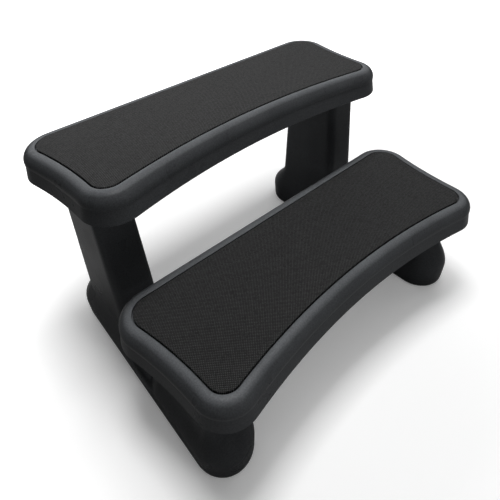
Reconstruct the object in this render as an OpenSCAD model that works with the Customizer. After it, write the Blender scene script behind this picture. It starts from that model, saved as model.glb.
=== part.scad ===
// Two-tread spa steps: moulded treads with ribbed mats, carried on two
// hollow side supports and screwed down under the mats.
// Frame: +X along the treads, -Y to the low front step, +Z up, floor at Z = 0,
// origin in the middle of the footprint.

/* [Steps] */
// Height of the upper tread's rim above the floor
steps_height = 414; // [390:1:470]
// Height of the lower tread's rim above the floor
first_rise = 225; // [200:1:240]
// How far the upper tread sits behind the lower one
step_offset = 244; // [230:1:300]

/* [Tread plan] */
// Half width of the mat seat where its ends pull in most, near the front corners
seat_half_width = 293; // [270:1:340]
// Depth of the mat seat on the centre line
seat_depth = 179; // [165:1:220]
// Radius of the hollow front edge
front_radius = 1240; // [900:10:3000]
// Radius of the hollow ends
end_radius = 675; // [500:5:1500]
// Distance from the rear seat line to where the ends pull in most
end_waist = 217; // [190:1:260]
// Radius of the rear corners
rear_corner = 34; // [24:1:45]
// Radius of the front corners
front_corner = 28; // [20:1:40]

/* [Tread section] */
// Width of the flat land beside the mat
land = 3; // [2:0.5:8]
// Width of the rolled edge outside the land
roll_width = 19.5; // [14:0.5:28]
// Height of the rolled edge
roll_height = 19; // [12:0.5:22]
// How far the crease below the roll is tucked in
roll_tuck = 0.9; // [0.5:0.1:3]
// Height of the crease below the roll
crease_height = 3; // [2:0.5:6]
// Overall thickness of the tread
tread_thick = 48; // [40:1:60]
// How far the skirt flares out from crease to bottom
skirt_flare = 4.1; // [0:0.1:6]
// Wall of the mouldings
wall = 3.2; // [2.4:0.1:4]
// Thickness of the deck under the mat
deck = 3.5; // [3:0.1:5]
// Depth of the mat recess
recess = 5; // [3:0.5:8]
// Depth of the ribs below the deck
rib_depth = 21; // [10:1:26]
// Thickness of a rib
rib = 2.4; // [1.6:0.1:3.5]
// Number of long ribs
long_ribs = 3; // [2:1:4]
// Number of cross ribs
cross_ribs = 11; // [7:2:15]
// Height of the bosses that rest on a post's top
boss_h = 5; // [4:0.5:8]
// How far a post reaches up inside its socket
socket_grip = 12; // [8:1:15]

/* [Mat] */
// Gap between mat and rim
mat_gap = 2.2; // [1:0.1:4]
// How far the mat stands above the rim
mat_proud = 0.8; // [0:0.1:2]

/* [Posts] */
// How far a post's outer face stands outside the seat line where the ends pull in most
post_out = 9.5; // [0:0.5:12]
// Width of a post's top
post_w = 66; // [55:1:80]
// Length of a post's top
post_l = 124; // [100:1:140]
// Distance from the tread's rear seat line to the rear face of the post's top
post_back = 46; // [35:1:55]
// Corner radius of a post
post_corner = 13; // [8:1:20]
// Draft of a post's long sides, in degrees
side_draft = 1.1; // [0:0.1:2]
// Draft of a post's ends, in degrees
end_draft = 2.8; // [0:0.1:3.5]
// Height at which the flare starts at the ends of the support
flare_top_end = 118; // [90:1:140]
// Height at which the flare starts on the long sides
flare_top_side = 80; // [65:1:90]
// How far the two flares of a support reach towards each other
saddle = 44; // [30:1:60]

/* [Rail] */
// How far a rail's inner side stands inside its posts' inner faces
rail_step = 15.5; // [12:0.5:22]
// Width of a rail at its ends
rail_w = 102; // [90:1:116]
// Height of a rail's flank
flank_h = 43; // [35:1:50]
// How far the flank leans in towards the floor
flank_lean = 1.5; // [0:0.5:4]
// Radius of the rail's bottom edge
foot_round = 8; // [4:1:12]
// Radius of the rail's top edge
rail_round = 12; // [6:1:16]
// How far a rail reaches in front of the low post
rail_front = 43; // [30:1:55]
// How far a rail reaches behind the tall post
rail_rear = 64; // [45:1:70]
// Wall of the side supports
support_wall = 4; // [3:0.5:6]

/* [Fastening] */
// Diameter of a screw
screw_d = 6; // [5:0.5:8]
// Length of a screw below its head
screw_l = 22; // [18:1:30]
// Head diameter of a screw
head_d = 12; // [10:0.5:14]
// Head height of a screw
head_h = 3.4; // [2.5:0.1:4.5]
// Outer diameter of a washer
washer_d = 15; // [12.5:0.5:18]
// Thickness of a washer
washer_t = 1.2; // [0.8:0.1:2]
// Outer diameter of a threaded insert
insert_d = 9; // [8:0.5:12]
// Length of a threaded insert
insert_l = 13; // [8:1:16]
// Distance between the two screws of a post
screw_span = 80; // [60:1:86]
// Running clearance of a screw in its hole
screw_gap = 0.3; // [0.1:0.05:0.6]
// Clearance of a post in its socket
socket_gap = 0.9; // [0.7:0.1:1.5]

/* [Foot pads] */
// Diameter of a foot pad
pad_d = 52; // [30:1:60]
// How far the pads hold the rail off the floor
pad_proud = 1; // [0.5:0.1:3]
// Thickness of a foot pad
pad_t = 6; // [4:0.5:8]
// Diameter of a pad's stem
stem_d = 8; // [6:0.5:12]

/* [Hidden] */
$fn = 64;

// Colours of the finishes
plastic = [0.11, 0.115, 0.125];
rubber = [0.15, 0.15, 0.155];
steel = [0.72, 0.73, 0.74];
brass = [0.78, 0.62, 0.3];
pad_rubber = [0.06, 0.06, 0.06];

// Smallest overlap that joins two features of one moulding
bite = 1;
// Width of the deck strip that is swept with the rim
strip = 12;
// Hair by which a tread's long sides are slighter than its corners, and the angle of their lap
hair = 0.02;
lap = 0.6;
// Chamfer of small edges
edge = 0.8;

// Levels of a tread, measured from its rim
recess_z = -recess;
deck_z = recess_z - deck;
seat_z = deck_z - boss_h;
rib_z = deck_z - rib_depth;
crease_z = -roll_height - crease_height;
// Widths of the rim, measured outwards from the seat line
roll_t = land + roll_width;
crease_t = roll_t - roll_tuck;
skirt_t = crease_t + skirt_flare;
rib_end_t = crease_t - wall / 2;
rib_shoulder_z = -roll_height * 0.65;
rib_notch = roll_width / 2;

// Centres of the arcs that bound a tread's right half
end_centre = [seat_half_width + end_radius, -end_waist];
front_centre = [0, -seat_depth - front_radius];
rear_corner_centre = [
    end_centre.x - sqrt(pow(end_radius + rear_corner, 2) - pow(end_waist - rear_corner, 2)),
    -rear_corner
];
front_corner_centre = circles_meet(
    end_centre, end_radius + front_corner, front_centre, front_radius + front_corner
);

// Directions in which the arcs meet
rear_to_end = heading(rear_corner_centre, end_centre);
front_to_end = heading(front_corner_centre, end_centre);
front_to_front = heading(front_corner_centre, front_centre);
front_half_angle = 90 - heading(front_centre, front_corner_centre);

// Places of the treads
low_y = -(step_offset + front_corner_centre.y - front_corner) / 2;
high_y = low_y + step_offset;
low_z = first_rise;
high_z = steps_height;

// Places of the posts, from the rear seat line of the tread that each carries
post_x = seat_half_width + post_out - post_w / 2;
post_inner = post_x - post_w / 2;
post_y = -post_back - post_l / 2;
low_post_top = low_z + seat_z;
high_post_top = high_z + seat_z;

// Rail
rail_r = rail_w / 2;
rail_x = post_inner - rail_step + rail_r;
pad_front_y = low_y + post_y - post_l / 2 - rail_front + rail_r;
pad_rear_y = high_y + post_y + post_l / 2 + rail_rear - rail_r;
rail_mid_y = (pad_front_y + pad_rear_y) / 2;
rail_h = flank_h + rail_round;
// Step where a flare leaves the rail's flank
seam = 0.4;
// Web that holds a foot pad
web_z = pad_t;
web_t = support_wall * 0.75;
// Spacing of the cross webs between the posts
web_pitch = 30;
// Gap round a pad's stem
stem_gap = 0.2;

// Screws, from the rim of their tread
washer_gap = 0.75;
bore_d = screw_d + 2 * screw_gap;
key_w = screw_d * 2 / 3;
well_z = recess_z - washer_t - head_h - edge;
well_d = washer_d + 2 * washer_gap;
boss_d = well_d + 2 * wall;
head_z = well_z + washer_t;
tip_z = head_z - screw_l;
insert_boss_d = insert_d + 2 * support_wall;
insert_boss_l = seat_z - tip_z + support_wall;
// Room for a screw's tip below it
tip_room = 2;
fit = 0.05;

// Sole groove of a foot pad: inner and outer radius as shares of the pad's, and depth
groove_from = 0.6;
groove_to = 0.76;
groove_h = 1.2;
// Barb of a pad's stem: how far it stands out, its shoulder and its height
barb_out = 1.2;
barb_shoulder = 0.7;
barb_h = 6;
barb_gap = 0.3;
// Knurled bands of an insert: depth of the grooves between them
knurl = 0.6;
// Steps of a quarter turn round a post's and a rail's corners
ring_steps = 6;

function heading(from, to) = atan2(to.y - from.y, to.x - from.x);
function lerp(a, b, s) = a + (b - a) * s;
function smooth(u) = u * u * (3 - 2 * u);

// The meeting point of two circles that lies to the left of the line from a to b
function circles_meet(a, ra, b, rb) =
    let (
        d = norm(b - a),
        along = (d * d + ra * ra - rb * rb) / (2 * d),
        across = sqrt(ra * ra - along * along),
        u = (b - a) / d
    )
    a + along * u + across * [u.y, -u.x];

// Points of an arc, without its first point unless first is 0
function arc(centre, r, from, to, steps, first = 1) = [
    for (i = [first:steps])
        let (a = lerp(from, to, i / steps))
        centre + r * [cos(a), sin(a)]
];

// Outline of a tread at a distance t outside its seat line, from the middle of the front
function half_outline(t) = concat(
    arc(front_centre, front_radius - t, 90, 90 - front_half_angle, 16, 0),
    arc(front_corner_centre, front_corner + t, front_to_front, front_to_end, 12),
    arc(end_centre, end_radius - t, front_to_end + 180, rear_to_end + 180, 12),
    arc(rear_corner_centre, rear_corner + t, rear_to_end, 90, 12)
);
function tread_outline(t) =
    let (half = half_outline(t))
    concat(half, [for (i = [len(half) - 1:-1:1]) [-half[i].x, half[i].y]]);

// Where the front edge and the ends lie for ribs that run into them
function front_y(x, t) = front_centre.y + sqrt(pow(front_radius - t, 2) - x * x);
function end_x(y, t) = end_centre.x - sqrt(pow(end_radius - t, 2) - pow(y - end_centre.y, 2));

// Rounded rectangle about its middle, n steps a corner, counter-clockwise from +X
function round_rect(w, l, r, n = 8) = [
    for (q = [0:3], i = [0:n])
        let (
            a = 90 * q + 90 * i / n,
            sx = (q == 0 || q == 3) ? 1 : -1,
            sy = q < 2 ? 1 : -1
        )
        [sx * (w / 2 - r) + r * cos(a), sy * (l / 2 - r) + r * sin(a)]
];

// ---- Treads ----

// Section of the rim: recess wall, land, rolled edge, crease, flared skirt and its inner side
function roll(w, h, steps) = [
    for (i = [0:steps]) let (a = 90 * i / steps) [land + w * sin(a), -roll_height + h * cos(a)]
];
// Sections keep to hundredths so that neighbouring pieces meet exactly
function tidy(points) = [for (p = points) [round(p.x * 100) / 100, round(p.y * 100) / 100]];
function rim_section() = tidy(concat(
    [[-strip, recess_z], [0, recess_z], [0, -edge / 2], [edge / 2, 0]],
    roll(roll_width, roll_height, 9),
    [
        [crease_t, crease_z],
        [skirt_t, -tread_thick + edge],
        [skirt_t - edge, -tread_thick],
        [skirt_t - wall, -tread_thick],
        [crease_t - wall, crease_z]
    ],
    [for (i = [6:-1:1]) roll(roll_width - wall, roll_height - wall, 6)[i]],
    [[wall, -wall - edge / 2], [wall, deck_z], [-strip, deck_z]]
));

// Section of the mat's edge
function mat_section() = [
    [-strip, recess_z], [-mat_gap, recess_z], [-mat_gap, mat_proud - edge],
    [-mat_gap - edge, mat_proud], [-strip, mat_proud]
];

// Section drawn in by a hair all round, so that a long side laps into a corner without
// sharing a surface with it
function drawn_in(points) =
    let (n = len(points))
    [
        for (i = [0:n - 1])
            let (
                before = points[i] - points[(i + n - 1) % n],
                after = points[(i + 1) % n] - points[i],
                u = before / norm(before),
                v = after / norm(after)
            )
            points[i] - hair * ([-u.y, u.x] + [-v.y, v.x]) / (1 + u * v)
    ];

// One section carried along an arc, with its outward side away from the centre (sign 1)
// or towards it (sign -1)
module arc_piece(section, centre, r, sign, from, to) {
    translate(centre)
        rotate([0, 0, min(from, to)])
            rotate_extrude(angle = abs(to - from), $fn = 16 * 360 / abs(to - from))
                polygon([for (p = section) [r + sign * p.x, p.y]]);
}

// One section carried round a tread's whole edge: straight rear, corners, ends and front.
// Corners reach past their ends by a small angle.
module swept_edge(section) {
    side_section = drawn_in(section);
    translate([-rear_corner_centre.x, 0, 0])
        rotate([90, 0, 90])
            linear_extrude(2 * rear_corner_centre.x)
                polygon(side_section);
    arc_piece(
        side_section, front_centre, front_radius, -1, 90 - front_half_angle, 90 + front_half_angle
    );
    for (side = [0, 1])
        mirror([side, 0, 0]) {
            arc_piece(section, rear_corner_centre, rear_corner, 1, rear_to_end - lap, 90 + lap);
            arc_piece(
                side_section, end_centre, end_radius, -1, rear_to_end + 180, front_to_end + 180
            );
            arc_piece(
                section, front_corner_centre, front_corner, 1, front_to_front - lap,
                front_to_end + lap
            );
        }
}

// Flat plate inside the swept edge, slighter than its strip by twice the hair on either face
module inner_plate(z, t) {
    translate([0, 0, z + 2 * hair])
        linear_extrude(t - 4 * hair)
            polygon(tread_outline(bite - strip));
}

// Upright rib along Y from one skirt to the other, its top corners cut to clear the roll
module deck_rib(from, to) {
    rotate([90, 0, 90])
        translate([0, 0, -rib / 2])
            linear_extrude(rib)
                polygon([
                    [from, rib_z], [to, rib_z], [to, rib_shoulder_z], [to - rib_notch, deck_z + bite],
                    [from + rib_notch, deck_z + bite], [from, rib_shoulder_z]
                ]);
}

// Ribs under the deck: long ones at even steps of depth, cross ones between the posts
module deck_ribs() {
    for (i = [1:long_ribs]) {
        y = -i * seat_depth / (long_ribs + 1);
        half = end_x(y, rib_end_t);
        translate([0, y, 0])
            rotate([0, 0, -90])
                deck_rib(-half, half);
    }
    half = post_inner - socket_gap - wall / 2;
    for (i = [0:cross_ribs - 1]) {
        x = lerp(-half, half, i / (cross_ribs - 1));
        translate([x, 0, 0])
            deck_rib(front_y(x, rib_end_t), rib_end_t);
    }
}

// Where the posts and their screws stand under a tread
module at_posts(y = 0, z = 0) {
    for (side = [-1, 1])
        translate([side * post_x, y + post_y, z])
            children();
}
module at_screws() {
    for (end = [-1, 1])
        translate([0, end * screw_span / 2, 0])
            children();
}

module post_outline(grow) {
    polygon(round_rect(post_w + 2 * grow, post_l + 2 * grow, post_corner + grow));
}

// Ring round a post's top
module socket() {
    translate([0, 0, seat_z - socket_grip])
        linear_extrude(deck_z - seat_z + socket_grip + bite)
            difference() {
                post_outline(socket_gap + wall);
                post_outline(socket_gap);
            }
}

module tread_moulding() {
    difference() {
        union() {
            swept_edge(rim_section());
            inner_plate(deck_z, deck);
            deck_ribs();
            at_posts() {
                socket();
                at_screws()
                    translate([0, 0, seat_z])
                        cylinder(d = boss_d, h = recess_z - seat_z - bite);
            }
        }
        at_posts() {
            // Room for the post below the bosses and the ribs that rest on it
            translate([0, 0, rib_z - bite])
                linear_extrude(seat_z - rib_z + bite)
                    post_outline(socket_gap);
            at_screws() {
                translate([0, 0, well_z])
                    cylinder(d = well_d, h = recess_z - well_z + bite);
                translate([0, 0, seat_z - bite])
                    cylinder(d = bore_d, h = well_z - seat_z + 2 * bite);
            }
        }
    }
}

module lower_tread() {
    color(plastic)
        translate([0, low_y, low_z])
            tread_moulding();
}
module upper_tread() {
    color(plastic)
        translate([0, high_y, high_z])
            tread_moulding();
}

// ---- Mats ----

module mat() {
    swept_edge(mat_section());
    inner_plate(recess_z, recess + mat_proud);
}
module lower_mat() {
    color(rubber)
        translate([0, low_y, low_z])
            mat();
}
module upper_mat() {
    color(rubber)
        translate([0, high_y, high_z])
            mat();
}

// ---- Side supports ----

// One ring of a post about its own axis: the tapering post down to where its flare starts, then
// a smooth change to the rail's outline. The flare starts higher at the ends than at the sides.
function flare_ring(top_z, front, rear, inset, level, levels) =
    let (
        foot_l = post_l + front + rear,
        foot = round_rect(rail_w - 2 * inset, foot_l - 2 * inset, rail_r - inset, ring_steps),
        u = level / levels,
        s = 1 - smooth(u)
    )
    [
        for (i = [0:len(foot) - 1])
            let (
                out = min(1, abs(foot[i].y) / (foot_l / 2 - inset)),
                start = lerp(flare_top_side, flare_top_end, smooth(out)),
                own = post_ring(top_z - start, inset)[i],
                y = foot[i].y + (rear - front) / 2,
                x = foot[i].x + rail_x - post_x
            )
            [lerp(own.x, x, s), lerp(own.y, y, s), lerp(flank_h, start, u)]
    ];
// Outline of a post at a distance below its top
function post_ring(below, inset) = round_rect(
    post_w + 2 * (below * tan(side_draft) - inset),
    post_l + 2 * (below * tan(end_draft) - inset),
    post_corner - inset / 2,
    ring_steps
);
function flat_ring(ring, z) = [for (p = ring) [p.x, p.y, z]];

// Solid from rings of equal length, first ring at the bottom
module loft(rings) {
    n = len(rings[0]);
    last = len(rings) - 1;
    polyhedron(
        points = [for (ring = rings) each ring],
        faces = concat(
            [[for (i = [0:n - 1]) i]],
            [
                for (k = [0:last - 1], i = [0:n - 1])
                    let (a = k * n + i, b = k * n + (i + 1) % n)
                    each [[a, a + n, b + n], [a, b + n, b]]
            ],
            [[for (i = [n - 1:-1:0]) last * n + i]]
        )
    );
}

// A post with its flare, from inside the rail up to drop below its top
module post(base_y, top_z, front, rear, inset, drop, levels) {
    rings = [
        for (k = [0:levels]) flare_ring(top_z, front, rear, inset, k, levels)
    ];
    buried = flare_ring(top_z, front, rear, inset + flank_lean, 0, levels);
    foot = flat_ring(buried, flank_h / 2);
    translate([post_x, base_y, 0])
        loft(concat([foot], rings, [flat_ring(post_ring(drop, inset), top_z - drop)]));
}

// Both posts of a support; the outer flares reach the rail's ends
module posts(inset, drop, levels) {
    post(low_y + post_y, low_post_top, rail_front, saddle, inset, drop, levels);
    post(high_y + post_y, high_post_top, saddle, rail_rear, inset, drop, levels);
}

// Section of the rail's side: rounded foot, leaning flank, rounded top edge
function foot_edge(steps) = [
    for (i = [0:steps])
        let (a = 90 * i / steps)
        [-flank_lean - foot_round * (1 - sin(a)), pad_proud + foot_round * (1 - cos(a))]
];
function top_edge(inset, steps) = [
    for (i = [0:steps])
        let (a = 90 * i / steps, r = rail_round - inset)
        [-inset - r * (1 - cos(a)), flank_h + r * sin(a)]
];
function rail_section() = concat(
    [[-rail_r, pad_proud]],
    foot_edge(4),
    top_edge(0, 6),
    [[-rail_r, rail_h]]
);
// The same for the hollow inside
function hollow_section() =
    let (in = flank_lean + support_wall)
    concat(
        [[-rail_r, -bite], [-in - foot_round, -bite], [-in, pad_proud + foot_round]],
        top_edge(support_wall, 2),
        [[-rail_r, rail_h - support_wall]]
    );

// Solid with one section all round: half discs at the ends, straight sides between
module rail_sweep(half_section) {
    section = tidy(half_section);
    for (end = [0, 1])
        translate([rail_x, end == 0 ? pad_front_y : pad_rear_y, 0])
            rotate([0, 0, end == 0 ? 180 : 0])
                rotate_extrude(angle = 180)
                    polygon([for (p = section) [rail_r + p.x, p.y]]);
    translate([rail_x, pad_rear_y, 0])
        rotate([90, 0, 0])
            linear_extrude(pad_rear_y - pad_front_y)
                polygon(both_sides([for (p = section) if (p.x > -rail_r) [rail_r + p.x, p.y]]));
}

// Outer shell of a support, open towards the floor
module support_shell() {
    difference() {
        union() {
            rail_sweep(rail_section());
            posts(seam, 0, 9);
        }
        rail_sweep(hollow_section());
        posts(support_wall + seam, support_wall, 4);
    }
}
module support_moulding() {
    difference() {
        union() {
            support_shell();
            support_inside();
        }
        insert_bores(low_y + post_y, low_post_top);
        insert_bores(high_y + post_y, high_post_top);
    }
}

// Parts of a support that are hidden in its hollow
module support_inside() {
    for (y = [pad_front_y, pad_rear_y])
        translate([rail_x, y, 0])
            pad_web();
    for (i = [-1:1])
        rail_web(rail_mid_y + i * web_pitch);
    post_web(low_y + post_y, low_post_top);
    post_web(high_y + post_y, high_post_top);
    insert_bosses(low_y + post_y, low_post_top);
    insert_bosses(high_y + post_y, high_post_top);
}

// Disc across a rail's end that a foot pad plugs into
module pad_web() {
    translate([0, 0, web_z])
        linear_extrude(web_t)
            difference() {
                circle(r = rail_r - flank_lean - support_wall / 2);
                circle(d = stem_d + 2 * stem_gap);
            }
}

// Half of a cross web's outline inside the rail, up its flank
web_side = [
    [rail_r - flank_lean - support_wall / 2, web_z + web_t],
    [rail_r - support_wall / 2, flank_h]
];
function both_sides(half, x = 0) = concat(
    [for (p = half) p + [x, 0]],
    [for (i = [len(half) - 1:-1:0]) [x - half[i].x, half[i].y]]
);
module upright_web(y, outline) {
    translate([0, y + web_t / 2, 0])
        rotate([90, 0, 0])
            linear_extrude(web_t)
                polygon(outline);
}
module rail_web(y) {
    upright_web(y, both_sides(
        concat(web_side, [[rail_r - rail_round, rail_h - support_wall / 2]]), rail_x
    ));
}

// Cross web up the middle of a post
module post_web(y, top_z) {
    half_top = (post_w - support_wall) / 2;
    half_low = half_top + (top_z - flare_top_side) * tan(side_draft);
    upright_web(y, concat(
        [for (p = web_side) [rail_x + p.x, p.y]],
        [
            [post_x + half_low, flare_top_side], [post_x + half_top, top_z - bite],
            [post_x - half_top, top_z - bite], [post_x - half_low, flare_top_side]
        ],
        [for (i = [len(web_side) - 1:-1:0]) [rail_x - web_side[i].x, web_side[i].y]]
    ));
}

// Bosses under a post's top that hold the threaded inserts
module insert_bosses(y, top_z) {
    translate([post_x, y, top_z])
        at_screws()
            translate([0, 0, -insert_boss_l])
                cylinder(d = insert_boss_d, h = insert_boss_l - bite);
}
module insert_bores(y, top_z) {
    translate([post_x, y, top_z])
        at_screws() {
            translate([0, 0, -insert_l])
                cylinder(d = insert_d + 2 * fit, h = insert_l + bite);
            translate([0, 0, tip_z - seat_z - tip_room])
                cylinder(d = bore_d, h = insert_l);
        }
}

module right_support() {
    color(plastic)
        support_moulding();
}
module left_support() {
    color(plastic)
        mirror([1, 0, 0])
            support_moulding();
}

// ---- Foot pads ----

// Rubber pad with a ring groove in its sole and a barbed stem
module foot_pad() {
    r = pad_d / 2;
    stem = stem_d / 2;
    barb = stem + barb_out;
    barb_z = web_z + web_t + barb_gap;
    rotate_extrude()
        polygon([
            [0, 0], [r * groove_from, 0], [r * groove_from + edge, groove_h],
            [r * groove_to - edge, groove_h], [r * groove_to, 0], [r - edge, 0],
            [r, edge], [r, pad_t - edge], [r - edge, pad_t], [stem, pad_t], [stem, barb_z],
            [barb, barb_z], [barb, barb_z + barb_shoulder], [stem - edge, barb_z + barb_h],
            [0, barb_z + barb_h]
        ]);
}
module pad_at(side, y) {
    color(pad_rubber)
        translate([side * rail_x, y, 0])
            foot_pad();
}
module front_left_foot_pad() {
    pad_at(-1, pad_front_y);
}
module front_right_foot_pad() {
    pad_at(1, pad_front_y);
}
module rear_left_foot_pad() {
    pad_at(-1, pad_rear_y);
}
module rear_right_foot_pad() {
    pad_at(1, pad_rear_y);
}

// ---- Fasteners ----

// Domed screw with a hexagon socket, its head's underside at Z = 0
module screw() {
    r = head_d / 2;
    shank = screw_d / 2;
    rim = head_h / 3;
    difference() {
        rotate_extrude()
            polygon(concat(
                [
                    [0, -screw_l], [shank - edge, -screw_l], [shank, -screw_l + edge],
                    [shank, 0], [r, 0]
                ],
                [
                    for (a = [0:15:60])
                        [r - r / 2 * (1 - cos(a)) / (1 - cos(60)),
                            rim + (head_h - rim) * sin(a) / sin(60)]
                ],
                [[0, head_h]]
            ));
        translate([0, 0, rim])
            cylinder(d = key_w / cos(30), h = head_h, $fn = 6);
    }
}
module washer() {
    linear_extrude(washer_t)
        difference() {
            circle(d = washer_d);
            circle(d = screw_d + 2 * screw_gap);
        }
}

// Threaded insert with two grooved bands, its top at Z = 0
module insert() {
    r = insert_d / 2;
    band = insert_l / 5;
    bore = screw_d / 2 + fit;
    rotate_extrude()
        polygon([
            [bore, 0], [r, 0], [r, -band], [r - knurl, -band - knurl],
            [r - knurl, -2 * band + knurl], [r, -2 * band], [r, -3 * band],
            [r - knurl, -3 * band - knurl], [r - knurl, -4 * band + knurl], [r, -4 * band],
            [r, -insert_l + edge], [r - edge, -insert_l], [bore, -insert_l]
        ]);
}

// Screws, washers and inserts of one post; side is -1 for left, tread gives the height and place
module fastened(side, y, z) {
    translate([side * post_x, y + post_y, z])
        at_screws()
            children();
}

module front_left_screws() {
    color(steel)
        fastened(-1, low_y, low_z + head_z)
            screw();
}
module front_left_washers() {
    color(steel)
        fastened(-1, low_y, low_z + well_z)
            washer();
}
module front_left_inserts() {
    color(brass)
        fastened(-1, low_y, low_z + seat_z)
            insert();
}

module front_right_screws() {
    color(steel)
        fastened(1, low_y, low_z + head_z)
            screw();
}
module front_right_washers() {
    color(steel)
        fastened(1, low_y, low_z + well_z)
            washer();
}
module front_right_inserts() {
    color(brass)
        fastened(1, low_y, low_z + seat_z)
            insert();
}

module rear_left_screws() {
    color(steel)
        fastened(-1, high_y, high_z + head_z)
            screw();
}
module rear_left_washers() {
    color(steel)
        fastened(-1, high_y, high_z + well_z)
            washer();
}
module rear_left_inserts() {
    color(brass)
        fastened(-1, high_y, high_z + seat_z)
            insert();
}

module rear_right_screws() {
    color(steel)
        fastened(1, high_y, high_z + head_z)
            screw();
}
module rear_right_washers() {
    color(steel)
        fastened(1, high_y, high_z + well_z)
            washer();
}
module rear_right_inserts() {
    color(brass)
        fastened(1, high_y, high_z + seat_z)
            insert();
}

lower_tread();
upper_tread();
lower_mat();
upper_mat();
left_support();
right_support();
front_left_foot_pad();
front_right_foot_pad();
rear_left_foot_pad();
rear_right_foot_pad();
front_left_screws();
front_right_screws();
rear_left_screws();
rear_right_screws();
front_left_washers();
front_right_washers();
rear_left_washers();
rear_right_washers();
front_left_inserts();
front_right_inserts();
rear_left_inserts();
rear_right_inserts();
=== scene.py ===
import math

import bmesh
import bpy
from bpy.props import FloatProperty, FloatVectorProperty, PointerProperty
from mathutils import Matrix, Vector


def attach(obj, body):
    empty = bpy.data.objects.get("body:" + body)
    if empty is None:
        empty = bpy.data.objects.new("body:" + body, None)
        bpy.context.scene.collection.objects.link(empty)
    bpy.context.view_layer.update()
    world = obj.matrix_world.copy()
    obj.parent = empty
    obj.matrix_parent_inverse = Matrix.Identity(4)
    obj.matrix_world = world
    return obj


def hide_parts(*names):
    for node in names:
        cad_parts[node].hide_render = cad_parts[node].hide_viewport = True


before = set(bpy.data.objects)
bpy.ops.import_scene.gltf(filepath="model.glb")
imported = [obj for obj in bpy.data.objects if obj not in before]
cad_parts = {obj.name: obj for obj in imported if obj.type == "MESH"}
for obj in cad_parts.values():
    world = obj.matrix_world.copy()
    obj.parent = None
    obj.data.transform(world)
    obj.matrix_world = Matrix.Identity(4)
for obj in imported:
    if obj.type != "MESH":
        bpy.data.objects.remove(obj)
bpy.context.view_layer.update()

bl_info = {
    "name": "Spa Steps",
    "version": (1, 0, 0),
    "blender": (4, 5, 0),
    "location": "View3D > Sidebar > Spa Steps",
    "description": "Builds the treads, mats, side supports and finishes of moulded spa steps",
    "category": "Object",
}

MM = 0.001

# Plan of a tread, in millimetres from the middle of its rear seat line
SEAT_HALF_WIDTH = 293
SEAT_DEPTH = 179
FRONT_RADIUS = 1240
END_RADIUS = 675
END_WAIST = 217
REAR_CORNER = 34
FRONT_CORNER = 28

# Section of a tread's rim, in millimetres from its seat line and its top
RECESS = 5
DECK = 3.5
LAND = 3
ROLL_WIDTH = 19.5
ROLL_HEIGHT = 19
CREASE_T = 21.6
CREASE_Z = -22
SKIRT_T = 25.7
TREAD_THICK = 48
WALL = 3.2
BOSS_H = 5
RIB = 2.4
RIB_DEPTH = 21
MAT_GAP = 2.2
MAT_PROUD = 0.8
MAT_BEVEL = 0.8

# Inner side of a tread, in millimetres; an overlap is how far a part runs into the wall it joins
OVERLAP = 1
DECK_INSET = 0.05
RIB_POST_GAP = 2.5
LONG_RIB_GAP = 10
CROSS_RIBS = 11
CROSS_RIB_SHOULDER = 9.7
CROSS_RIB_SHOULDER_Z = -12.5
SOCKET_GAP = 0.9
SOCKET_OUTER = 4.1
SOCKET_DEPTH = 12
SOCKET_OVERLAP = 0.5
BOSS_BORE_R = 3.3
BOSS_R = 11.4

# Posts and rails of the side supports
STEP_OFFSET = 244
FIRST_RISE = 225
SECOND_RISE = 189
POST_INNER = 236.5
POST_W = 66
POST_L = 124
POST_BACK = 46
POST_CORNER = 13
SIDE_DRAFT = math.radians(1.1)
END_DRAFT = math.radians(2.8)
FLARE_TOP_END = 118
FLARE_TOP_SIDE = 80
SADDLE = 44
RAIL_INNER = 221
RAIL_W = 102
FLANK_H = 43
FLANK_LEAN = 1.5
FOOT_ROUND = 8
RAIL_ROUND = 12
RAIL_FRONT = 43
RAIL_REAR = 64
PAD_PROUD = 1
SUPPORT_WALL = 4
SCREW_SPAN = 80
STEM_D = 8.4

# Inner side of a support, in millimetres
PAD_PLATE_LOW = 6
PAD_PLATE_TOP = 9
WEB = 3
WEB_GAP = 2
WEB_PITCH = 30
INSERT_BORE_R = 4.6
INSERT_BOSS_R = 8.5
INSERT_BOSS_DEPTH = 22

# How finely the curves are cut, how close points are merged in millimetres, the angles in
# degrees past which an edge stays sharp, and how the blended skin is smoothed
REAR_STEPS = 8
REAR_CORNER_STEPS = 20
END_STEPS = 14
FRONT_CORNER_STEPS = 24
FRONT_STEPS = 24
BORE_STEPS = 32
MERGE_SEAM = 0.001
MERGE_ALL = 0.01
TREAD_SHARP = 38
MAT_SHARP = 40
SUPPORT_SHARP = 50
ROLL_STEPS = 16
INNER_ROLL_STEPS = 8
SOCKET_STEPS = 6
POST_STEPS = 12
FLARE_LEVELS = 24
RAIL_END_STEPS = 32
RAIL_SIDE_STEPS = 12
FOOT_STEPS = 6
RAIL_ROUND_STEPS = 8
SMOOTH_PASSES = 4
SMOOTH_ABOVE = 4
SOLE_BELOW = 0.4

# Finishes: shares of a colour, roughness from low to high, and bump distances in metres
PLASTIC_MOTTLE = (0.74, 1.26)
PLASTIC_ROUGHNESS = (0.26, 0.34)
PLASTIC_SPECULAR = 0.06
PLASTIC_BUMP = 0.00022
PLASTIC_CLOUD = 0.07
SPECKLE_SHARE = 0.65
CLOUD_SHARE = 0.35
# Normal height from which the plastic gets its painted highlight, a paler colour where it faces up
PAINTED_LIGHT_FROM = 0.8
MAT_TONES = (0.05, 3.2)
MAT_WEAR = (0.3, 1.7)
MAT_WEAR_SIZE = 0.0032
MAT_ROUGHNESS = (0.75, 0.42)
MAT_SPECULAR = 0.45
MAT_BUMP = 0.001
MAT_BUMP_STRENGTH = 0.9
MAT_GRAIN_SHARE = 0.2
PAD_TONE = 1.5
PAD_ROUGHNESS = (0.75, 0.9)
PAD_BUMP = 0.0001
METAL_TONE = 0.85
METAL_BUMP = 0.00003
STEEL = ((0.62, 0.63, 0.64), 0.28, 0.42)
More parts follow.
